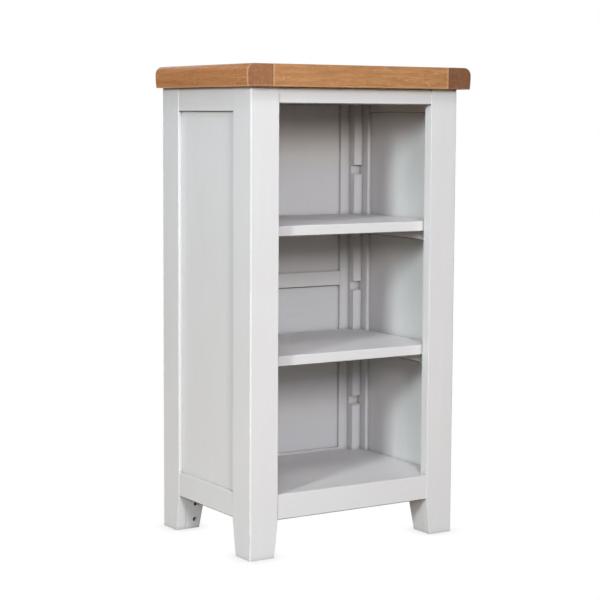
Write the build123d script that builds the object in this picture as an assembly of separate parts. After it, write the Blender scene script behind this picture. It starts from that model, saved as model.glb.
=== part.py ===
from build123d import *
import os

# Small painted bookcase with an oak top. Millimetres, +Z up.
# The origin is on the floor, under the middle of the overall box. The front faces -Y.

# Overall sizes
CASE_WIDTH = 462.0
CASE_DEPTH = 338.0
CASE_HEIGHT = 868.5
TOP_THICKNESS = 41.0
SIDE_OVERHANG = 19.0
FRONT_OVERHANG = 19.0
TOP_BACK_SET_IN = 6.0
HALF_CASE = CASE_WIDTH / 2
CASE_FRONT_Y = (FRONT_OVERHANG - CASE_DEPTH) / 2

# Oak top
TOP_ROUND = 15.0
TOP_TUCK = 2.0
TOP_BELLY_HEIGHT = 21.0
TOP_END_EASING = 2.0
END_BOARD_WIDTH = 54.3
TONGUE_LENGTH = 12.0
TONGUE_THICKNESS = 12.0
TONGUE_STOP = 30.0

# Corner posts: an L of two leaves, with a foot that tapers on its two inner faces
POST_WIDTH = 60.0
POST_DEPTH = 64.2
FRONT_LEAF = 21.5
REAR_LEAF = 26.0
SIDE_LEAF = 19.0
TAPER_HEIGHT = 70.3
FOOT_WIDTH = 52.4
FOOT_DEPTH = 53.0
POST_CORNER_ROUND = 2.5
POST_EDGE_ROUND = 1.2
BLOCK_CORNER_ROUND = 3.0
BLOCK_JOINT_ROUND = 0.4

# Rails
RAIL_SET_BACK = 1.5
SIDE_RAIL_SET_BACK = 1.0
FRONT_TOP_RAIL_BOTTOM = 838.6
SIDE_TOP_RAIL_BOTTOM = 823.5
SIDE_TOP_RAIL_INNER = 14.0
APRON_BOTTOM = 70.3
APRON_TOP = 118.3
BACK_RAIL_THICKNESS = 18.0
BACK_BOTTOM_RAIL_TOP = 123.0
BACK_MIDDLE_RAIL = (465.0, 496.0)
RAIL_EASING = 1.2
RAIL_LOWER_EASING = 2.2
ARRIS = 2.0
TENON_LENGTH = 15.0
TENON_THICKNESS = 9.0
TENON_SHOULDER = 5.0
JOINT_GAP = 0.1

# Panels, let into grooves
PANEL_THICKNESS = 4.0
SIDE_PANEL_SET_BACK = 7.5
BACK_PANEL_SET_BACK = 6.0
PANEL_BITE = 8.0
GROOVE_DEPTH = 9.0

# Floor board and top battens
FLOOR_TOP = 118.0
FLOOR_THICKNESS = 18.0
BOARD_GAP = 0.2
BATTEN_WIDTH = 40.0
BATTEN_THICKNESS = 20.0

# Notched strips, cleats and shelves
RACK_WIDTH = 20.3
RACK_THICKNESS = 19.0
NOTCH_DEPTH = 11.0
NOTCH_HEIGHT = 18.5
NOTCH_LIP = 2.5
FIRST_NOTCH = 214.2
NOTCH_PITCH = 120.8
NOTCH_COUNT = 5
LOWER_SHELF_NOTCH = 1
UPPER_SHELF_NOTCH = 3
CLEAT_WIDTH = 30.7
CLEAT_SIDE_GAP = 0.3
CLEAT_END_GAP = 0.5
CLEAT_REST_GAP = 0.1
CLEAT_HEIGHT = 18.3
CLEAT_ROUND = 3.0
SHELF_THICKNESS = 20.0
SHELF_REST_GAP = 0.1
SHELF_SIDE_GAP = 1.4
SHELF_END_GAP = 1.5

# Screws
SCREW_SHANK = 4.0
PILOT_HOLE = 4.1
CLEARANCE_HOLE = 4.5
SCREW_BITE = 15.0
FOOT_SCREW_HEIGHTS = (18.5, 50.5)
FOOT_SCREW_INSET = 39.5
FOOT_SCREW_SEAT = 38.0
FOOT_HEAD = 7.6
FOOT_COUNTERBORE = 8.4
FOOT_HEAD_HEIGHT = 2.4
TOP_SCREW_SPACING = 150.0
TOP_HEAD = 8.0
TOP_COUNTERBORE = 9.0
TOP_HEAD_HEIGHT = 3.0
TOP_COUNTERBORE_DEPTH = 6.0
TOP_SLOT_HOLE = 5.5
TOP_SCREW_BITE = 20.0
DRIVE_WIDTH = 0.9
DRIVE_DEPTH = 1.2

BACK_PLANE = CASE_DEPTH - REAR_LEAF
INNER_HALF = HALF_CASE - SIDE_LEAF
OPENING_HALF = HALF_CASE - POST_WIDTH
RACK_TOP = CASE_HEIGHT - BATTEN_THICKNESS

LEFT = -1
RIGHT = 1
SIDES = {"left": LEFT, "right": RIGHT}


def block(x_range, depth_range, z_range):
    """A box. Depths are measured backwards from the front of the case."""
    x0, x1 = sorted(x_range)
    d0, d1 = depth_range
    z0, z1 = z_range
    centre = ((x0 + x1) / 2, CASE_FRONT_Y + (d0 + d1) / 2, (z0 + z1) / 2)
    return Pos(*centre) * Box(x1 - x0, d1 - d0, z1 - z0)


def side_block(side, inset_range, depth_range, z_range):
    """A box placed by its distance in from one side face of the case."""
    x_range = [side * (HALF_CASE - inset) for inset in inset_range]
    return block(x_range, depth_range, z_range)


def cylinder_y(x, depth_range, z, diameter):
    """A round bar that runs front to back."""
    d0, d1 = sorted(depth_range)
    centre = (x, CASE_FRONT_Y + (d0 + d1) / 2, z)
    return Pos(*centre) * Rot(90, 0, 0) * Cylinder(diameter / 2, d1 - d0)


def cylinder_z(x, depth, z_range, diameter):
    """An upright round bar."""
    z0, z1 = sorted(z_range)
    return Pos(x, CASE_FRONT_Y + depth, (z0 + z1) / 2) * Cylinder(diameter / 2, z1 - z0)


def eased(bar, axis):
    """Round the long edges of a plain bar that lies along one axis, the lower two more."""
    bar = fillet(bar.edges().filter_by(axis).group_by(Axis.Z)[-1], RAIL_EASING)
    return fillet(bar.edges().filter_by(axis).group_by(Axis.Z)[0], RAIL_LOWER_EASING)


# ---------------------------------------------------------------- oak top

def end_profile(half):
    """Front view of the top: both ends tucked in at the bottom and rounded over above."""
    bottom = CASE_HEIGHT
    upper = CASE_HEIGHT + TOP_THICKNESS
    belly = bottom + TOP_BELLY_HEIGHT
    shoulder = upper - TOP_ROUND
    middle = bottom + TOP_BELLY_HEIGHT / 2
    lean = TOP_TUCK / 4
    drop = TOP_ROUND * (1 - 2 ** -0.5)
    outline = [
        Line((TOP_TUCK - half, bottom), (half - TOP_TUCK, bottom)),
        ThreePointArc((half - TOP_TUCK, bottom), (half - lean, middle), (half, belly)),
        Line((half, belly), (half, shoulder)),
        ThreePointArc((half, shoulder), (half - drop, upper - drop), (half - TOP_ROUND, upper)),
        Line((half - TOP_ROUND, upper), (TOP_ROUND - half, upper)),
        ThreePointArc((TOP_ROUND - half, upper), (drop - half, upper - drop), (-half, shoulder)),
        Line((-half, shoulder), (-half, belly)),
        ThreePointArc((-half, belly), (lean - half, middle), (TOP_TUCK - half, bottom)),
    ]
    return make_face(Curve() + outline)


def top_slab():
    """The whole top before it is divided into boards."""
    front = CASE_FRONT_Y - FRONT_OVERHANG
    back = CASE_FRONT_Y + CASE_DEPTH - TOP_BACK_SET_IN
    profile = Plane.XZ.offset(-back) * end_profile(HALF_CASE + SIDE_OVERHANG)
    slab = extrude(profile, back - front)
    for end in (0, -1):
        rim = slab.faces().sort_by(Axis.Y)[end].edges()
        slab = fillet(rim, TOP_END_EASING)
    return slab


def tongue(side, gap):
    """Tongue of the long-grain field, or with a gap the groove that takes it."""
    joint = HALF_CASE + SIDE_OVERHANG - END_BOARD_WIDTH
    middle = CASE_HEIGHT + TOP_THICKNESS / 2
    half = TONGUE_THICKNESS / 2 + gap
    depth_range = (
        TONGUE_STOP - FRONT_OVERHANG - gap,
        CASE_DEPTH - TOP_BACK_SET_IN - TONGUE_STOP + gap,
    )
    x_range = (side * (joint - 1), side * (joint + TONGUE_LENGTH + gap))
    return block(x_range, depth_range, (middle - half, middle + half))


def top_screw_places():
    """X position and depth of each screw that holds the top."""
    front = FRONT_LEAF + BOARD_GAP + BATTEN_WIDTH / 2
    rear = BACK_PLANE - BOARD_GAP - BATTEN_WIDTH / 2
    columns = (-TOP_SCREW_SPACING, 0.0, TOP_SCREW_SPACING)
    return [(x, depth) for depth in (front, rear) for x in columns]


def build_top():
    """Field and two end boards."""
    slab = top_slab()
    joint = HALF_CASE + SIDE_OVERHANG - END_BOARD_WIDTH
    depth_range = (-CASE_DEPTH, 2 * CASE_DEPTH)
    z_range = (CASE_HEIGHT - 1, CASE_HEIGHT + TOP_THICKNESS + 1)
    field = slab & block((-joint, joint), depth_range, z_range)
    for side in SIDES.values():
        field = field + tongue(side, 0)
    pilot_top = CASE_HEIGHT + TOP_SCREW_BITE + 2
    for x, depth in top_screw_places():
        field = field - cylinder_z(x, depth, (CASE_HEIGHT - 1, pilot_top), PILOT_HOLE)
    nodes = {"top_field": field}
    for name, side in SIDES.items():
        outside = block((side * joint, side * 2 * HALF_CASE), depth_range, z_range)
        nodes["top_end_" + name] = (slab & outside) - tongue(side, JOINT_GAP)
    return nodes


# ---------------------------------------------------------------- posts and feet

def rounded_outline(points):
    """Face from corner points and the radius at each corner, zero for a sharp one."""
    outline = make_face(Polyline([point for point, _ in points], close=True))
    for corner, radius in points:
        if radius:
            near = outline.vertices().sort_by_distance((corner[0], corner[1], 0))[0]
            outline = fillet(near, radius)
    return outline


def post_section(width, depth, leaf):
    """L section, with the outer corner of the case at (0, 0)."""
    return rounded_outline([
        ((0, 0), POST_CORNER_ROUND),
        ((width, 0), POST_EDGE_ROUND),
        ((width, leaf), POST_EDGE_ROUND),
        ((SIDE_LEAF, leaf), 0),
        ((SIDE_LEAF, depth), POST_EDGE_ROUND),
        ((0, depth), POST_EDGE_ROUND),
    ])


def block_section(width, depth, leaf):
    """Section of the block that fills the inner corner of a foot."""
    return rounded_outline([
        ((SIDE_LEAF, leaf), 0),
        ((width, leaf), BLOCK_JOINT_ROUND),
        ((width, depth), BLOCK_CORNER_ROUND),
        ((SIDE_LEAF, depth), BLOCK_JOINT_ROUND),
    ])


def tapered(section, leaf, height):
    """Straight piece of the section with the tapered foot below it."""
    upper = section(POST_WIDTH, POST_DEPTH, leaf)
    foot = section(FOOT_WIDTH, FOOT_DEPTH, leaf)
    straight = extrude(Pos(0, 0, TAPER_HEIGHT) * upper, height - TAPER_HEIGHT)
    return straight + loft([foot, Pos(0, 0, TAPER_HEIGHT) * upper], ruled=True)


def place_at_corner(part, side, rear):
    """Move a piece drawn at the front left corner of the case to another corner."""
    if rear:
        part = mirror(part, Plane.XZ)
        part = Pos(0, CASE_DEPTH, 0) * part
    part = Pos(-HALF_CASE, CASE_FRONT_Y, 0) * part
    if side == RIGHT:
        part = mirror(part, Plane.YZ)
    return part


def foot_screw_x(side):
    return side * (HALF_CASE - FOOT_SCREW_INSET)


def corner_depth(distance, rear):
    """Depth in the case of a distance measured in from the front or the back face."""
    return CASE_DEPTH - distance if rear else distance


def foot_hole(side, rear, distances, z, diameter):
    depth_range = [corner_depth(distance, rear) for distance in distances]
    return cylinder_y(foot_screw_x(side), depth_range, z, diameter)


def build_post(side, rear):
    leaf = REAR_LEAF if rear else FRONT_LEAF
    post = place_at_corner(tapered(post_section, leaf, CASE_HEIGHT), side, rear)
    for z in FOOT_SCREW_HEIGHTS:
        post = post - foot_hole(side, rear, (leaf + 1, leaf - SCREW_BITE - 1), z, PILOT_HOLE)
    for cutter in side_frame_cutters(side) + cross_frame_cutters(rear):
        post = post - cutter
    return post


def build_foot_block(side, rear):
    leaf = REAR_LEAF if rear else FRONT_LEAF
    floor_underside = FLOOR_TOP - FLOOR_THICKNESS
    foot = place_at_corner(tapered(block_section, leaf, floor_underside), side, rear)
    for z in FOOT_SCREW_HEIGHTS:
        foot = foot - foot_hole(side, rear, (leaf - 1, FOOT_SCREW_SEAT), z, CLEARANCE_HOLE)
        foot = foot - foot_hole(side, rear, (FOOT_SCREW_SEAT, POST_DEPTH + 1), z, FOOT_COUNTERBORE)
    return foot


def build_posts():
    nodes = {}
    for name, side in SIDES.items():
        for end, rear in (("front", False), ("rear", True)):
            nodes[f"post_{end}_{name}"] = build_post(side, rear)
            nodes[f"foot_block_{end}_{name}"] = build_foot_block(side, rear)
    return nodes


# ---------------------------------------------------------------- rails and panels

def tenon_z(z_range, gap):
    return (z_range[0] + TENON_SHOULDER - gap, z_range[1] - TENON_SHOULDER + gap)


def cross_tenons(depth_range, z_range, gap):
    """Tenons at both ends of a rail that runs from side to side."""
    middle = sum(depth_range) / 2
    half = TENON_THICKNESS / 2 + gap
    reach = OPENING_HALF + TENON_LENGTH + gap
    return block((-reach, reach), (middle - half, middle + half), tenon_z(z_range, gap))


def side_tenons(side, inset_range, z_range, gap):
    """Tenons at both ends of a rail that runs from front to back."""
    middle = sum(inset_range) / 2
    half = TENON_THICKNESS / 2 + gap
    reach = TENON_LENGTH + gap
    depth_range = (POST_DEPTH - reach, CASE_DEPTH - POST_DEPTH + reach)
    return side_block(side, (middle - half, middle + half), depth_range, tenon_z(z_range, gap))


FRONT_RAILS = {
    "rail_front_top": (FRONT_TOP_RAIL_BOTTOM, CASE_HEIGHT),
    "rail_front_bottom": (APRON_BOTTOM, APRON_TOP),
}
BACK_RAILS = {
    "rail_back_top": (FRONT_TOP_RAIL_BOTTOM, CASE_HEIGHT),
    "rail_back_middle": BACK_MIDDLE_RAIL,
    "rail_back_bottom": (APRON_BOTTOM, BACK_BOTTOM_RAIL_TOP),
}
SIDE_RAILS = {
    "top": ((SIDE_RAIL_SET_BACK, SIDE_TOP_RAIL_INNER), (SIDE_TOP_RAIL_BOTTOM, CASE_HEIGHT)),
    "bottom": ((SIDE_RAIL_SET_BACK, SIDE_LEAF), (APRON_BOTTOM, FLOOR_TOP)),
}
FRONT_RAIL_DEPTHS = (RAIL_SET_BACK, FRONT_LEAF)
BACK_RAIL_DEPTHS = (BACK_PLANE, BACK_PLANE + BACK_RAIL_THICKNESS)
BACK_PANELS = {
    "panel_back_lower": (BACK_BOTTOM_RAIL_TOP, BACK_MIDDLE_RAIL[0]),
    "panel_back_upper": (BACK_MIDDLE_RAIL[1], FRONT_TOP_RAIL_BOTTOM),
}


def side_panel_space(side, bite, gap):
    """Side panel, or with a deeper bite and a gap the groove that takes it."""
    inset_range = (SIDE_PANEL_SET_BACK - gap, SIDE_PANEL_SET_BACK + PANEL_THICKNESS + gap)
    depth_range = (POST_DEPTH - bite, CASE_DEPTH - POST_DEPTH + bite)
    z_range = (FLOOR_TOP - bite, SIDE_TOP_RAIL_BOTTOM + bite)
    return side_block(side, inset_range, depth_range, z_range)


def back_panel_space(z_range, bite, gap):
    """Back panel, or with a deeper bite and a gap the groove that takes it."""
    front = BACK_PLANE + BACK_PANEL_SET_BACK
    depth_range = (front - gap, front + PANEL_THICKNESS + gap)
    reach = OPENING_HALF + bite
    return block((-reach, reach), depth_range, (z_range[0] - bite, z_range[1] + bite))


def side_frame_cutters(side):
    """Mortises and groove that one side frame needs in its posts."""
    cutters = [side_tenons(side, *ranges, JOINT_GAP) for ranges in SIDE_RAILS.values()]
    cutters.append(side_panel_space(side, GROOVE_DEPTH, JOINT_GAP))
    return cutters


def cross_frame_cutters(rear):
    """Mortises and grooves that the front or the back frame needs in its posts."""
    rails = BACK_RAILS if rear else FRONT_RAILS
    depth_range = BACK_RAIL_DEPTHS if rear else FRONT_RAIL_DEPTHS
    cutters = [cross_tenons(depth_range, z_range, JOINT_GAP) for z_range in rails.values()]
    if rear:
        for z_range in BACK_PANELS.values():
            cutters.append(back_panel_space(z_range, GROOVE_DEPTH, JOINT_GAP))
    return cutters


def build_cross_rails():
    """Front and back rails."""
    nodes = {}
    for rails, depth_range in ((FRONT_RAILS, FRONT_RAIL_DEPTHS), (BACK_RAILS, BACK_RAIL_DEPTHS)):
        for name, z_range in rails.items():
            bar = eased(block((-OPENING_HALF, OPENING_HALF), depth_range, z_range), Axis.X)
            rail = bar + cross_tenons(depth_range, z_range, 0)
            nodes[name] = rail
    for name in BACK_RAILS:
        for z_range in BACK_PANELS.values():
            nodes[name] = nodes[name] - back_panel_space(z_range, GROOVE_DEPTH, JOINT_GAP)
    return nodes


def build_side_frames():
    """Side rails and side panels."""
    nodes = {}
    depth_range = (POST_DEPTH, CASE_DEPTH - POST_DEPTH)
    for name, side in SIDES.items():
        groove = side_panel_space(side, GROOVE_DEPTH, JOINT_GAP)
        for place, (inset_range, z_range) in SIDE_RAILS.items():
            bar = eased(side_block(side, inset_range, depth_range, z_range), Axis.Y)
            tenons = side_tenons(side, inset_range, z_range, 0)
            nodes[f"rail_{name}_{place}"] = bar + tenons - groove
        nodes[f"panel_{name}"] = side_panel_space(side, PANEL_BITE, 0)
    return nodes


def build_back_panels():
    return {name: back_panel_space(z_range, PANEL_BITE, 0) for name, z_range in BACK_PANELS.items()}


# ---------------------------------------------------------------- floor and battens

def build_floor():
    half = INNER_HALF - BOARD_GAP
    z_range = (FLOOR_TOP - FLOOR_THICKNESS, FLOOR_TOP)
    return {"floor_board": block((-half, half), (FRONT_LEAF, BACK_PLANE), z_range)}


def build_batten(depth):
    """Batten under the top, drilled for three screws. The depth is that of its centre line."""
    half = INNER_HALF - BOARD_GAP
    depth_range = (depth - BATTEN_WIDTH / 2, depth + BATTEN_WIDTH / 2)
    batten = eased(block((-half, half), depth_range, (RACK_TOP, CASE_HEIGHT)), Axis.X)
    seat = RACK_TOP + TOP_COUNTERBORE_DEPTH
    for x, screw_depth in top_screw_places():
        if screw_depth == depth:
            batten = batten - cylinder_z(x, depth, (RACK_TOP - 1, seat), TOP_COUNTERBORE)
            batten = batten - cylinder_z(x, depth, (seat, CASE_HEIGHT + 1), TOP_SLOT_HOLE)
    return batten


def build_battens():
    depths = sorted({depth for _, depth in top_screw_places()})
    return {"batten_front": build_batten(depths[0]), "batten_rear": build_batten(depths[1])}


# ---------------------------------------------------------------- racks, cleats and shelves

def notch_bottom(index):
    return FIRST_NOTCH + index * NOTCH_PITCH


def notch_cutter(side, bottom):
    """One notch in a front rack, with a bevelled lower lip."""
    mouth = FRONT_LEAF + RACK_THICKNESS
    floor = mouth - NOTCH_DEPTH
    lip = bottom - NOTCH_LIP
    outline = Polyline([
        (floor, bottom),
        (mouth - NOTCH_LIP, bottom),
        (mouth, lip),
        (mouth + 1, lip),
        (mouth + 1, bottom + NOTCH_HEIGHT),
        (floor, bottom + NOTCH_HEIGHT),
    ], close=True)
    section = Pos(0, CASE_FRONT_Y, 0) * (Plane.YZ * make_face(outline))
    middle = side * (INNER_HALF - RACK_WIDTH / 2)
    return Pos(middle, 0, 0) * extrude(section, RACK_WIDTH, both=True)


def build_rack(side, rear):
    inset_range = (SIDE_LEAF, SIDE_LEAF + RACK_WIDTH)
    depth_range = (FRONT_LEAF, FRONT_LEAF + RACK_THICKNESS)
    rack = side_block(side, inset_range, depth_range, (FLOOR_TOP, RACK_TOP))
    upright = rack.edges().filter_by(Axis.Z).group_by(Axis.Y)[-1]
    rack = fillet(upright, RAIL_EASING)
    for index in range(NOTCH_COUNT):
        rack = rack - notch_cutter(side, notch_bottom(index))
    if rear:
        middle = CASE_FRONT_Y + (FRONT_LEAF + BACK_PLANE) / 2
        rack = mirror(rack, Plane.XZ.offset(-middle))
    return rack


def build_racks():
    nodes = {}
    for name, side in SIDES.items():
        nodes["rack_front_" + name] = build_rack(side, False)
        nodes["rack_rear_" + name] = build_rack(side, True)
    return nodes


def build_cleat(side, index):
    """Shelf cleat: a full-width middle, and narrower ends that enter the notches."""
    bottom = notch_bottom(index) + CLEAT_REST_GAP
    z_range = (bottom, bottom + CLEAT_HEIGHT)
    outer = SIDE_LEAF + CLEAT_SIDE_GAP
    rack_face = FRONT_LEAF + RACK_THICKNESS + CLEAT_END_GAP
    end = rack_face - NOTCH_DEPTH
    middle = side_block(
        side, (outer, outer + CLEAT_WIDTH), (rack_face, BACK_PLANE + FRONT_LEAF - rack_face), z_range
    )
    tip = side_block(
        side, (outer, SIDE_LEAF + RACK_WIDTH - 0.5), (end, BACK_PLANE + FRONT_LEAF - end), z_range
    )
    lower_inner = middle.edges().filter_by(Axis.Y).group_by(Axis.Z)[0]
    inner_edge = lower_inner.sort_by_distance((0, 0, bottom))[0]
    return fillet(inner_edge, CLEAT_ROUND) + tip


def build_shelf(index):
    """Loose shelf, notched at the corners to pass the racks."""
    bottom = notch_bottom(index) + CLEAT_REST_GAP + CLEAT_HEIGHT + SHELF_REST_GAP
    z_range = (bottom, bottom + SHELF_THICKNESS)
    half = INNER_HALF - SHELF_SIDE_GAP
    front = FRONT_LEAF + SHELF_END_GAP
    back = BACK_PLANE - SHELF_END_GAP
    shelf = block((-half, half), (front, back), z_range)
    notch_inset = (0, SIDE_LEAF + RACK_WIDTH + SHELF_END_GAP)
    notch_depth = RACK_THICKNESS
    for side in SIDES.values():
        shelf = shelf - side_block(side, notch_inset, (0, front + notch_depth), z_range)
        shelf = shelf - side_block(side, notch_inset, (back - notch_depth, CASE_DEPTH), z_range)
    level = shelf.edges().filter_by(Axis.Z, reverse=True)
    return fillet(level, ARRIS)


def build_shelves():
    nodes = {}
    for level, index in (("lower", LOWER_SHELF_NOTCH), ("upper", UPPER_SHELF_NOTCH)):
        nodes["shelf_" + level] = build_shelf(index)
        for name, side in SIDES.items():
            nodes[f"cleat_{level}_{name}"] = build_cleat(side, index)
    return nodes


# ---------------------------------------------------------------- screws

def screw(head, head_height, length):
    """Screw standing head down: the head's bearing face is at z = 0."""
    body = Pos(0, 0, -head_height / 2) * Cylinder(head / 2, head_height)
    body = fillet(body.edges().sort_by(Axis.Z)[0], head_height / 3)
    shank = Pos(0, 0, length / 2) * Cylinder(SCREW_SHANK / 2, length)
    shank = chamfer(shank.edges().sort_by(Axis.Z)[-1], SCREW_SHANK / 4)
    slot = Pos(0, 0, DRIVE_DEPTH / 2 - head_height) * Box(head * 0.55, DRIVE_WIDTH, DRIVE_DEPTH)
    return body + shank - slot - Rot(0, 0, 90) * slot


def build_foot_screws():
    screws = []
    for side in SIDES.values():
        for rear, leaf, turn in ((False, FRONT_LEAF, 90), (True, REAR_LEAF, -90)):
            depth = corner_depth(FOOT_SCREW_SEAT, rear)
            length = FOOT_SCREW_SEAT - leaf + SCREW_BITE
            for z in FOOT_SCREW_HEIGHTS:
                place = Pos(foot_screw_x(side), CASE_FRONT_Y + depth, z) * Rot(turn, 0, 0)
                screws.append(place * screw(FOOT_HEAD, FOOT_HEAD_HEIGHT, length))
    return Compound(children=screws)


def build_top_screws():
    seat = RACK_TOP + TOP_COUNTERBORE_DEPTH
    length = CASE_HEIGHT - seat + TOP_SCREW_BITE
    screws = []
    for x, depth in top_screw_places():
        screws.append(Pos(x, CASE_FRONT_Y + depth, seat) * screw(TOP_HEAD, TOP_HEAD_HEIGHT, length))
    return Compound(children=screws)


def build_all():
    nodes = {}
    for group in (
        build_top,
        build_posts,
        build_cross_rails,
        build_side_frames,
        build_back_panels,
        build_floor,
        build_battens,
        build_racks,
        build_shelves,
    ):
        nodes.update(group())
    nodes["foot_screws"] = build_foot_screws()
    nodes["top_screws"] = build_top_screws()
    return nodes


os.makedirs("parts", exist_ok=True)
for node_name, node in build_all().items():
    export_step(node, f"parts/{node_name}.step")
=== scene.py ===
import math

import bpy
from mathutils import Matrix, Vector


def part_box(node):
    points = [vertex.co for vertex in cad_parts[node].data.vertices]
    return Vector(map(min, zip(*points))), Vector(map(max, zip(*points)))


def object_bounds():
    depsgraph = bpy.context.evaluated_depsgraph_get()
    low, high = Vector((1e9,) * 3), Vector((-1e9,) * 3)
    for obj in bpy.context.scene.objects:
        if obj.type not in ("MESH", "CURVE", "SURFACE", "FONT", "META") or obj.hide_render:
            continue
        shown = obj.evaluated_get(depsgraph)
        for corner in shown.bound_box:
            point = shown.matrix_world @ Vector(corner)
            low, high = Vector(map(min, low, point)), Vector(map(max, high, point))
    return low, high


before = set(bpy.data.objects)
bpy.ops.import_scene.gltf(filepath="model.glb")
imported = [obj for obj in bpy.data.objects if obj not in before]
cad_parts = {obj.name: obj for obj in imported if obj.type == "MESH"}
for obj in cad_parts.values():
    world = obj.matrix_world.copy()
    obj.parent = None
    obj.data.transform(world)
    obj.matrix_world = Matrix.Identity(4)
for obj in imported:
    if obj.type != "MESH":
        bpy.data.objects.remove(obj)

CAD_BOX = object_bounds()

# ---------------------------------------------------------------- sizes and places (metres)

END_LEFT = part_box("top_end_left")
END_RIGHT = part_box("top_end_right")
TOP_JOINT_LEFT = END_LEFT[1].x
TOP_JOINT_RIGHT = END_RIGHT[0].x

# Angles are in radians, and the lens and sensor in millimetres.
CAMERA_PLACE = Vector((-1.8227, -2.8383, 0.8175))
CAMERA_YAW = 0.56488
CAMERA_PITCH = 0.10633
CAMERA_ROLL = 0.0054
CAMERA_LENS = 103.83
SENSOR_WIDTH = 36.0

# ---------------------------------------------------------------- colours (linear)

PAINT = (0.60, 0.585, 0.57)
PAINT_SHADE = (0.53, 0.51, 0.49)
# Painted shade on open edges, which tones down their highlight.
PAINT_EDGE_SHADE = (0.45, 0.435, 0.42)
# Painted shade: the colour that crevices and the undersides of rounded edges are darkened towards.
PAINTED_SHADE_TONE = (0.16, 0.15, 0.135)
OAK_LIGHT = (0.56, 0.30, 0.120)
OAK_MIDDLE = (0.44, 0.205, 0.075)
OAK_DARK = (0.27, 0.110, 0.038)
OAK_PORE = (0.13, 0.050, 0.020)
OAK_END = (0.68, 0.68, 0.74)
OAK_FLECK = (0.78, 0.50, 0.25)
# Pale oak for the painted highlight on edges and the bottom rim, and for the light joint lines.
OAK_ARRIS = (0.80, 0.54, 0.33)
JOINT_SHADE = (0.16, 0.060, 0.022)
NEUTRAL = (1.0, 1.0, 1.0)
BLACK_STEEL = (0.012, 0.012, 0.013)
ZINC = (0.58, 0.59, 0.60)

# ---------------------------------------------------------------- finishes (lengths in metres)

PAINT_EDGE_REACH = 0.0022
PAINT_CREVICE_REACH = 0.012
PAINT_RELIEF = 0.00012
PAINT_IOR = 1.48
OAK_RINGS_PER_METRE = 230.0
OAK_RING_DRIFT = 0.030
OAK_RING_WAVER = 0.006
OAK_EDGE_REACH = 0.003
# Band above the top's underside, in metres, that is given a painted highlight.
OAK_RIM = (0.0015, 0.0035)
OAK_RELIEF = 0.00025
OAK_IOR = 1.5
SCREW_RELIEF = 0.00005


class Shader:
    """A material under construction: adds nodes and links them."""

    def __init__(self, name):
        self.material = bpy.data.materials.new(name)
        self.material.use_nodes = True
        self.tree = self.material.node_tree
        self.tree.nodes.clear()

    def add(self, kind, inputs=None, **settings):
        node = self.tree.nodes.new("ShaderNode" + kind)
        for key, value in settings.items():
            setattr(node, key, value)
        for key, value in (inputs or {}).items():
            self.put(node.inputs[key], value)
        return node

    def put(self, socket, value):
        if isinstance(value, bpy.types.NodeSocket):
            self.tree.links.new(value, socket)
        elif socket.type == "RGBA" and len(value) == 3:
            socket.default_value = (*value, 1.0)
        else:
            socket.default_value = value

    def math(self, operation, a, b=0.0):
        return self.add("Math", {0: a, 1: b}, operation=operation).outputs[0]

    def vector(self, operation, a, b=(0.0, 0.0, 0.0)):
        node = self.add("VectorMath", {0: a, 1: b}, operation=operation)
        return node.outputs["Value"] if operation in ("DOT_PRODUCT", "LENGTH") else node.outputs[0]

    def mix(self, share, a, b, blend="MIX"):
        node = self.add("Mix", data_type="RGBA", blend_type=blend)
        self.put(node.inputs["Factor"], share)
        self.put(node.inputs[6], a)
        self.put(node.inputs[7], b)
        return node.outputs[2]

    def spread(self, value, low, high, to_low=0.0, to_high=1.0, smooth=False):
        """Map a value's range to another one, held at its ends."""
        kind = "SMOOTHSTEP" if smooth else "LINEAR"
        node = self.add("MapRange", interpolation_type=kind)
        for index, item in enumerate((value, low, high, to_low, to_high)):
            self.put(node.inputs[index], item)
        return node.outputs[0]

    def noise(self, place, detail=2.0, roughness=0.5, distortion=0.0):
        """Noise whose scale is already in its place vector."""
        inputs = {
            "Vector": place, "Scale": 1.0, "Detail": detail,
            "Roughness": roughness, "Distortion": distortion,
        }
        return self.add("TexNoise", inputs).outputs[0]

    def scaled(self, place, scale, shift=(0.0, 0.0, 0.0)):
        moved = self.vector("ADD", place, shift)
        return self.vector("MULTIPLY", moved, scale)

    def finish(self, colour, roughness, bump=None, **extra):
        inputs = {"Base Color": colour, "Roughness": roughness}
        inputs.update({key.replace("_", " "): value for key, value in extra.items()})
        shader = self.add("BsdfPrincipled", inputs)
        if bump is not None:
            self.put(shader.inputs["Normal"], bump)
        self.add("OutputMaterial", {"Surface": shader.outputs[0]})
        return self.material


def along(axis, length_scale, cross_scale):
    """Scale vector that stretches a pattern along one axis."""
    return tuple(length_scale if index == "XYZ".index(axis) else cross_scale for index in range(3))


def sharp_edge(s, normal, reach, low, high):
    """1 along sharp edges, found from how far a bevel of this reach would turn the surface."""
    bevel = s.add("Bevel", {"Radius": reach}, samples=4).outputs[0]
    turned = s.math("SUBTRACT", 1.0, s.vector("DOT_PRODUCT", bevel, normal))
    return s.spread(turned, low, high, smooth=True)


def rounded_edge(s, normal):
    """1 on rounded edges, the only surfaces that face well away from every axis."""
    slopes = s.add("SeparateXYZ", {0: s.vector("ABSOLUTE", normal)})
    level = s.math("MAXIMUM", slopes.outputs[0], slopes.outputs[1])
    nearest = s.math("MAXIMUM", level, slopes.outputs[2])
    return s.spread(nearest, 0.80, 0.97, 1.0, 0.0)


def lower_edge(s, normal):
    """Mask for painted shade: 1 on edges rounded towards the floor, but not on flat undersides or
    tapered feet.
    """
    downward = s.math("MULTIPLY", s.add("SeparateXYZ", {0: normal}).outputs[2], -1.0)
    turned = s.spread(downward, 0.18, 0.28)
    not_flat = s.spread(downward, 0.97, 0.995, 1.0, 0.0)
    return s.math("MULTIPLY", turned, not_flat)


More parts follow.
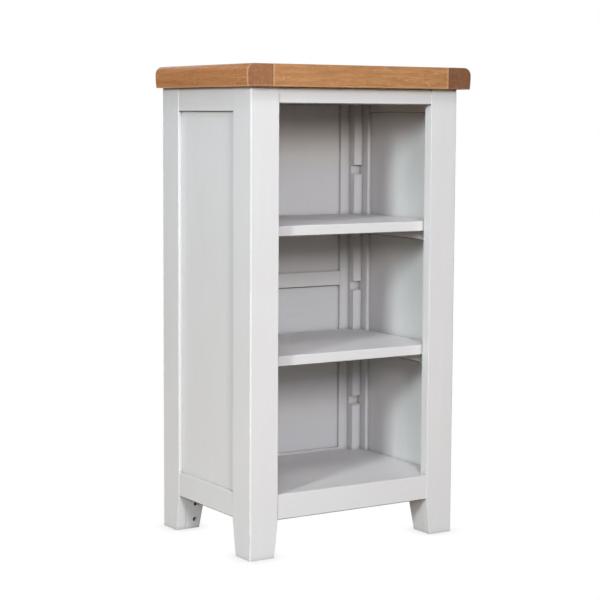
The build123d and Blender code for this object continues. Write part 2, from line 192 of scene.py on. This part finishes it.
def painted_wood(axis):
    """Satin paint over timber whose grain runs along one axis.

    Noise scales are waves per metre.
    """
    s = Shader("painted_wood_" + axis.lower())
    place = s.add("TexCoord").outputs["Object"]
    normal = s.add("NewGeometry").outputs["Normal"]
    strokes = s.noise(s.scaled(place, along(axis, 22.0, 650.0)), detail=3.0, roughness=0.6)
    timber = s.noise(s.scaled(place, along(axis, 5.0, 110.0)), detail=4.0, roughness=0.65)
    cloud = s.noise(s.scaled(place, (7.0, 7.0, 7.0)), detail=2.0)
    speckle = s.noise(s.scaled(place, (1500.0, 1500.0, 1500.0)), detail=1.0)

    sharp = sharp_edge(s, normal, PAINT_EDGE_REACH, 0.02, 0.16)
    edge = s.math("MAXIMUM", sharp, rounded_edge(s, normal))
    nearby = s.add("AmbientOcclusion", {"Distance": PAINT_CREVICE_REACH}, samples=4)
    occlusion = nearby.outputs["AO"]
    open_edge = s.math("MULTIPLY", edge, s.spread(occlusion, 0.75, 0.95))
    # Open edges are darkened in patches along the grain: painted shade that tones down the
    # highlight on the edges.
    edge_shade = s.math("MULTIPLY", open_edge, s.spread(timber, 0.35, 0.62, 0.35, 1.0))
    # Painted shade in crevices and between parts, where little light reaches.
    crevice_shade = s.spread(occlusion, 0.30, 0.80, 1.0, 0.0)
    # Painted shade along edges that are rounded towards the floor.
    under = lower_edge(s, normal)

    colour = s.mix(s.spread(cloud, 0.3, 0.7, 0.0, 0.22), PAINT, PAINT_SHADE)
    colour = s.mix(s.spread(timber, 0.35, 0.7, 0.0, 0.18), colour, PAINT_SHADE)
    colour = s.mix(s.spread(strokes, 0.4, 0.75, 0.0, 0.14), colour, PAINT_SHADE)
    colour = s.mix(s.math("MULTIPLY", edge_shade, 0.90), colour, PAINT_EDGE_SHADE)
    colour = s.mix(s.math("MULTIPLY", crevice_shade, 0.55), colour, PAINTED_SHADE_TONE)
    colour = s.mix(s.math("MULTIPLY", under, 0.95), colour, PAINTED_SHADE_TONE)

    rough = s.spread(strokes, 0.3, 0.7, 0.40, 0.52)
    rough = s.math("ADD", rough, s.math("MULTIPLY", edge, 0.35))
    height = s.math("ADD", s.math("MULTIPLY", strokes, 0.5), timber)
    height = s.math("ADD", height, s.math("MULTIPLY", speckle, 0.25))
    bump = s.add("Bump", {"Strength": 0.35, "Distance": PAINT_RELIEF, "Height": height}).outputs[0]
    return s.finish(colour, rough, bump, IOR=PAINT_IOR)


def to_joint(s, spot):
    """Distance across the top to the nearer of the field's joints with the two end boards."""
    from_left = s.math("ABSOLUTE", s.math("SUBTRACT", spot.outputs[0], TOP_JOINT_LEFT))
    from_right = s.math("ABSOLUTE", s.math("SUBTRACT", spot.outputs[0], TOP_JOINT_RIGHT))
    return s.math("MINIMUM", from_left, from_right)


def oak(axis, pith, seed, tone, joint, name):
    """Lacquered oak cut from a solid pattern of growth rings, with its grain along one axis.

    The pith is the rings' centre line, given by its place across the grain. The joint is the
    colour, strength and width of the line along the board's joint with its neighbour. Noise
    scales are waves per metre.
    """
    s = Shader(name)
    place = s.add("TexCoord").outputs["Object"]
    normal = s.add("NewGeometry").outputs["Normal"]
    shift = (seed * 1.7, seed * 2.3, seed * 3.1)

    drift = s.noise(s.scaled(place, along(axis, 2.2, 9.0), shift), detail=2.0)
    waver = s.noise(s.scaled(place, along(axis, 9.0, 60.0), shift), detail=3.0, roughness=0.55)
    across = s.scaled(s.vector("SUBTRACT", place, pith), along(axis, 0.0, 1.0))
    radius = s.vector("LENGTH", across)
    radius = s.math("ADD", radius, s.math("MULTIPLY", drift, OAK_RING_DRIFT))
    radius = s.math("ADD", radius, s.math("MULTIPLY", waver, OAK_RING_WAVER))
    ring = s.math("FRACT", s.math("MULTIPLY", radius, OAK_RINGS_PER_METRE))
    darkening = s.spread(ring, 0.25, 0.85, smooth=True)
    late = s.math("MULTIPLY", darkening, s.spread(ring, 0.86, 1.0, 1.0, 0.0))
    early = s.math("SUBTRACT", 1.0, s.spread(s.math("PINGPONG", ring, 0.5), 0.0, 0.2))

    fibre = s.noise(s.scaled(place, along(axis, 12.0, 520.0), shift), detail=3.0, roughness=0.65)
    streak = s.noise(s.scaled(place, along(axis, 4.0, 120.0), shift), detail=4.0, roughness=0.6)
    pores = s.noise(s.scaled(place, along(axis, 42.0, 1500.0), shift), detail=1.0, roughness=0.4)
    pore = s.math("MULTIPLY", s.spread(pores, 0.60, 0.70), s.spread(early, 0.0, 1.0, 0.35, 1.0))
    flecks = s.noise(s.scaled(place, along(axis, 90.0, 170.0), shift), detail=2.0, distortion=0.4)
    clusters = s.noise(s.scaled(place, along(axis, 14.0, 40.0), shift), detail=1.0)
    fleck = s.spread(flecks, 0.60, 0.68)
    fleck = s.math("MULTIPLY", fleck, s.spread(clusters, 0.50, 0.62, 0.15, 1.0))
    dashes = s.noise(s.scaled(place, along(axis, 70.0, 260.0), shift), detail=1.0)
    dash = s.spread(dashes, 0.60, 0.70)
    dash = s.math("MULTIPLY", dash, s.spread(clusters, 0.48, 0.60, 0.15, 1.0))
    blotch = s.noise(s.scaled(place, along(axis, 22.0, 90.0), shift), detail=2.0)
    patch = s.noise(s.scaled(place, along(axis, 3.0, 14.0), shift), detail=2.0)

    colour = s.mix(s.spread(streak, 0.32, 0.68), OAK_LIGHT, OAK_MIDDLE)
    colour = s.mix(s.math("MULTIPLY", late, 0.24), colour, OAK_DARK)
    colour = s.mix(s.spread(fibre, 0.45, 0.75, 0.0, 0.30), colour, OAK_DARK)
    colour = s.mix(s.spread(blotch, 0.50, 0.68, 0.0, 0.35), colour, OAK_DARK)
    colour = s.mix(s.spread(patch, 0.35, 0.7, 0.0, 0.30), colour, OAK_MIDDLE)
    colour = s.mix(s.math("MULTIPLY", fleck, 0.38), colour, OAK_FLECK)
    colour = s.mix(s.math("MULTIPLY", dash, 0.45), colour, OAK_DARK)
    colour = s.mix(s.math("MULTIPLY", pore, 0.70), colour, OAK_PORE)

    facing = s.math("ABSOLUTE", s.vector("DOT_PRODUCT", normal, along(axis, 1.0, 0.0)))
    end_grain = s.spread(facing, 0.55, 0.85, smooth=True)
    colour = s.mix(end_grain, colour, s.mix(1.0, colour, OAK_END, "MULTIPLY"))

    spot = s.add("SeparateXYZ", {0: place})
    joint_colour, joint_share, joint_width = joint
    line = s.spread(to_joint(s, spot), joint_width, 1.6 * joint_width, joint_share, 0.0)
    colour = s.mix(line, colour, joint_colour)

    # Painted highlight: paler along sharp edges and along a rim just above the top's underside.
    edge = sharp_edge(s, normal, OAK_EDGE_REACH, 0.01, 0.12)
    above = s.math("SUBTRACT", spot.outputs[2], END_LEFT[0].z)
    rim = s.spread(above, *OAK_RIM, 1.0, 0.0)
    lit = s.math("MAXIMUM", s.math("MULTIPLY", edge, 0.30), s.math("MULTIPLY", rim, 0.30))
    colour = s.mix(lit, colour, OAK_ARRIS)
    colour = s.mix(1.0, colour, tone, "MULTIPLY")

    rough = s.spread(fibre, 0.3, 0.7, 0.48, 0.62)
    rough = s.math("ADD", rough, s.math("MULTIPLY", pore, 0.2))
    relief = s.math("SUBTRACT", s.math("MULTIPLY", fibre, 0.4), pore)
    bump = s.add("Bump", {"Strength": 0.6, "Distance": OAK_RELIEF, "Height": relief}).outputs[0]
    return s.finish(colour, rough, bump, IOR=OAK_IOR)


def screw_metal(name, base, metallic, roughness):
    """Plated or blackened steel with fine turning marks."""
    s = Shader(name)
    place = s.add("TexCoord").outputs["Object"]
    marks = s.noise(s.scaled(place, (2500.0, 2500.0, 2500.0)), detail=3.0)
    cloud = s.noise(s.scaled(place, (300.0, 300.0, 300.0)), detail=2.0)
    colour = s.mix(s.spread(cloud, 0.35, 0.7, 0.0, 0.5), base, tuple(0.6 * part for part in base))
    rough = s.spread(marks, 0.3, 0.7, roughness - 0.08, roughness + 0.12)
    bump = s.add("Bump", {"Strength": 0.3, "Distance": SCREW_RELIEF, "Height": marks}).outputs[0]
    return s.finish(colour, rough, bump, Metallic=metallic)


# ---------------------------------------------------------------- which finish each piece gets

def grain_axis(name):
    """The axis that a piece's length runs along."""
    low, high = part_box(name)
    size = high - low
    return "XYZ"[max(range(3), key=lambda index: size[index])]


def paint_nodes():
    paints = {axis: painted_wood(axis) for axis in "XYZ"}
    for name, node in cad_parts.items():
        if not name.startswith("top_") and name != "foot_screws":
            cover(node, paints[grain_axis(name)])


def cover(node, material):
    for slot in node.material_slots:
        slot.material = material


def oak_nodes():
    middle_z = (END_LEFT[0].z + END_LEFT[1].z) / 2
    light_joint = (OAK_ARRIS, 0.24, 0.0026)
    dark_joint = (JOINT_SHADE, 0.50, 0.0016)
    field_pith = (0.0, 0.05, middle_z - 0.11)
    field = oak("X", field_pith, 1.0, (0.80, 0.76, 0.73), light_joint, "oak_field")
    left_pith = (END_LEFT[0].x + 0.02, 0.0, middle_z - 0.07)
    left = oak("Y", left_pith, 2.0, (0.82, 0.71, 0.67), dark_joint, "oak_end_left")
    right_pith = (END_RIGHT[0].x + 0.01, 0.0, middle_z + 0.09)
    right = oak("Y", right_pith, 3.0, (0.57, 0.49, 0.50), dark_joint, "oak_end_right")
    cover(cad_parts["top_field"], field)
    cover(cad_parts["top_end_left"], left)
    cover(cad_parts["top_end_right"], right)


def screw_nodes():
    cover(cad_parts["foot_screws"], screw_metal("black_screw_steel", BLACK_STEEL, 0.0, 0.42))
    cover(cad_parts["top_screws"], screw_metal("zinc_screw_steel", ZINC, 1.0, 0.35))


# ---------------------------------------------------------------- studio

# Upright softboxes. Azimuth 0 is in front and 90 to the right. Sizes and places are in metres,
# and power is in watts of red, green and blue.
SOFTBOXES = {
    "front_far": dict(
        azimuth=-20.0, distance=6.0, height=(1.60, 3.40), width=2.0,
        power=(75.0, 100.5, 155.0),
    ),
    "front_near": dict(
        azimuth=-17.0, distance=2.9, height=(1.07, 1.67), width=0.4,
        power=(43.5, 39.0, 32.5),
    ),
    "left_near": dict(
        azimuth=-61.5, distance=3.3, height=(1.21, 1.80), width=0.32,
        power=(72.5, 81.5, 84.5),
    ),
    "left_wide": dict(
        azimuth=-90.0, distance=3.3, height=(0.50, 1.50), width=0.6,
        power=(15.0, 14.0, 15.0),
    ),
    "overhead": dict(
        azimuth=-30.0, distance=2.6, height=(3.00, 4.30), width=1.5,
        power=(70.0, 70.0, 75.0),
    ),
    "right_rear": dict(
        azimuth=112.0, distance=3.2, height=(0.60, 2.00), width=1.0,
        power=(60.0, 60.0, 60.0),
    ),
    "rear": dict(
        azimuth=172.0, distance=3.2, height=(0.60, 2.00), width=1.2,
        power=(92.0, 92.0, 92.0),
    ),
}
AIM = Vector((0.0, 0.0, 0.5))

# The floor lights the object from below. Its glow is one colour near the feet and another farther
# off, fades out at a distance from the middle, and is weaker under the case: a painted shadow of
# the case.
FLOOR_SIZE = 30.0
FLOOR_GLOW_NEAR = (0.46, 0.42, 0.36)
FLOOR_GLOW_FAR = (0.72, 0.54, 0.35)
FLOOR_GLOW_CHANGE = (0.45, 0.85)
FLOOR_GLOW_END = (1.05, 1.40)
UNDER_CASE_GLOW = 0.65
UNDER_CASE_EDGE = (-0.12, 0.02)
CONTACT_REACH = 0.03
CONTACT_SHADE = 0.70


def floor_glow(s):
    """What the floor throws on the object."""
    place = s.add("TexCoord").outputs["Object"]
    radius = s.vector("LENGTH", place)
    pool = s.spread(radius, *FLOOR_GLOW_END, 1.0, 0.0)
    warmth = s.mix(s.spread(radius, *FLOOR_GLOW_CHANGE), FLOOR_GLOW_NEAR, FLOOR_GLOW_FAR)
    spot = s.add("SeparateXYZ", {0: place})
    beyond_x = s.math("SUBTRACT", s.math("ABSOLUTE", spot.outputs[0]), CAD_BOX[1][0])
    beyond_y = s.math("SUBTRACT", s.math("ABSOLUTE", spot.outputs[1]), CAD_BOX[1][1])
    beyond = s.math("MAXIMUM", beyond_x, beyond_y)
    # Painted shadow of the case: the glow is weaker beneath it.
    pool = s.math("MULTIPLY", pool, s.spread(beyond, *UNDER_CASE_EDGE, UNDER_CASE_GLOW, 1.0))
    return s.add("Emission", {"Color": warmth, "Strength": pool}).outputs[0]


def floor_material():
    """White to the camera, with a soft shade where the feet touch it."""
    s = Shader("studio_floor")
    contact = s.add("AmbientOcclusion", {"Distance": CONTACT_REACH}, samples=8).outputs["AO"]
    white = s.spread(contact, 0.0, 1.0, CONTACT_SHADE, 1.0)
    seen = s.add("Emission", {"Color": NEUTRAL, "Strength": white}).outputs[0]
    camera_ray = s.add("LightPath").outputs["Is Camera Ray"]
    shader = s.add("MixShader", {0: camera_ray, 1: floor_glow(s), 2: seen}).outputs[0]
    s.add("OutputMaterial", {"Surface": shader})
    return s.material


def make_floor():
    """Seamless floor."""
    mesh = bpy.data.meshes.new("studio_floor")
    half = FLOOR_SIZE / 2
    corners = [(-half, -half, 0.0), (half, -half, 0.0), (half, half, 0.0), (-half, half, 0.0)]
    mesh.from_pydata(corners, [], [(0, 1, 2, 3)])
    floor = bpy.data.objects.new("studio_floor", mesh)
    bpy.context.scene.collection.objects.link(floor)
    mesh.materials.append(floor_material())


def make_world():
    """White to the camera only, so that the softboxes alone shape the light."""
    world = bpy.data.worlds.new("studio")
    world.use_nodes = True
    tree = world.node_tree
    tree.nodes.clear()
    seen = tree.nodes.new("ShaderNodeLightPath").outputs["Is Camera Ray"]
    background = tree.nodes.new("ShaderNodeBackground")
    background.inputs["Color"].default_value = (*NEUTRAL, 1.0)
    tree.links.new(seen, background.inputs["Strength"])
    output = tree.nodes.new("ShaderNodeOutputWorld")
    tree.links.new(background.outputs[0], output.inputs["Surface"])
    bpy.context.scene.world = world


def make_softbox(name, azimuth, distance, height, width, power):
    angle = math.radians(azimuth)
    low, high = height
    place = Vector((math.sin(angle) * distance, -math.cos(angle) * distance, (low + high) / 2))
    lamp = bpy.data.lights.new(name, "AREA")
    lamp.shape = "RECTANGLE"
    lamp.size = width
    lamp.size_y = high - low
    lamp.energy = max(power)
    lamp.color = [part / max(power) for part in power]
    light = bpy.data.objects.new(name, lamp)
    light.location = place
    light.rotation_euler = (AIM - place).to_track_quat("-Z", "Y").to_euler()
    light.visible_camera = False
    bpy.context.scene.collection.objects.link(light)


def make_lights():
    for name, settings in SOFTBOXES.items():
        make_softbox(name, **settings)


def make_camera():
    forward = Vector((
        math.sin(CAMERA_YAW) * math.cos(CAMERA_PITCH),
        math.cos(CAMERA_YAW) * math.cos(CAMERA_PITCH),
        -math.sin(CAMERA_PITCH),
    ))
    right = Vector((math.cos(CAMERA_YAW), -math.sin(CAMERA_YAW), 0.0))
    up = right.cross(forward)
    camera_x = math.cos(CAMERA_ROLL) * right + math.sin(CAMERA_ROLL) * up
    camera_y = -math.sin(CAMERA_ROLL) * right + math.cos(CAMERA_ROLL) * up
    turn = Matrix((camera_x, camera_y, -forward)).transposed().to_4x4()
    data = bpy.data.cameras.new("camera")
    data.lens = CAMERA_LENS
    data.sensor_width = SENSOR_WIDTH
    camera = bpy.data.objects.new("camera", data)
    camera.matrix_world = Matrix.Translation(CAMERA_PLACE) @ turn
    bpy.context.scene.collection.objects.link(camera)
    bpy.context.scene.camera = camera


paint_nodes()
oak_nodes()
screw_nodes()
make_floor()
make_world()
make_lights()
make_camera()
bpy.context.scene.view_settings.view_transform = "Standard"
